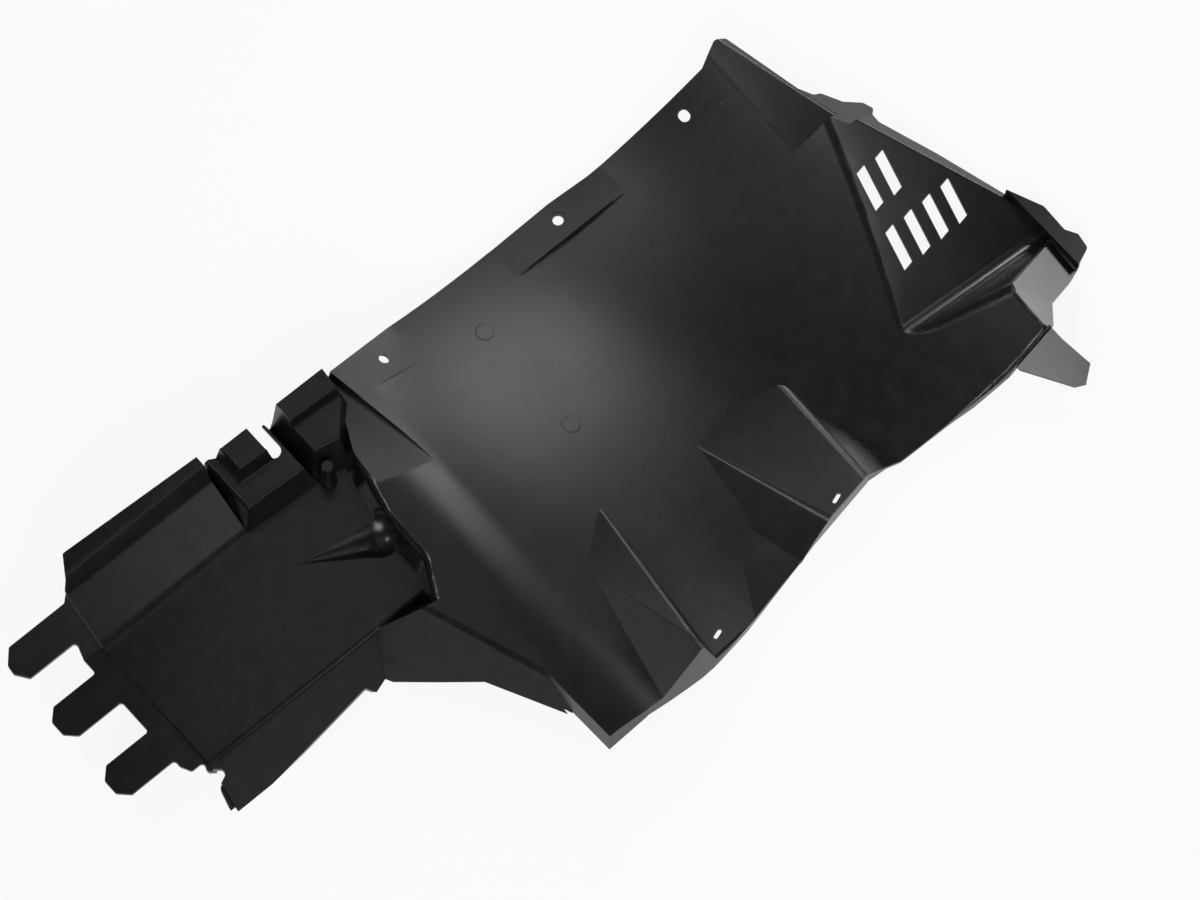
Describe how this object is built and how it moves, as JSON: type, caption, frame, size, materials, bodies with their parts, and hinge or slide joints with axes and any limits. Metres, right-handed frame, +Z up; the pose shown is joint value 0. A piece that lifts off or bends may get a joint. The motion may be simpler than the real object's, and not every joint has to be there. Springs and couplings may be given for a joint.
{
  "type": "wheel arch liner",
  "caption": "Thin moulded plastic liner section for a car wheel arch: hollow arc sheet with stepped end plate, slotted vent panel, locating tongues and screw holes.",
  "frame": {"origin": "middle of the bounding box in plan, on the floor that the liner rests on", "axes": "+X along the length from the tongues to the end lip, +Y toward the screw edge, +Z up out of the wheel side"},
  "size_m": [0.7878, 0.3678, 0.08],
  "materials": {
    "liner": "black polypropylene, fine grained and slightly glossy"
  },
  "bodies": {
    "root": {"liner": "liner"}
  },
  "joints": []
}
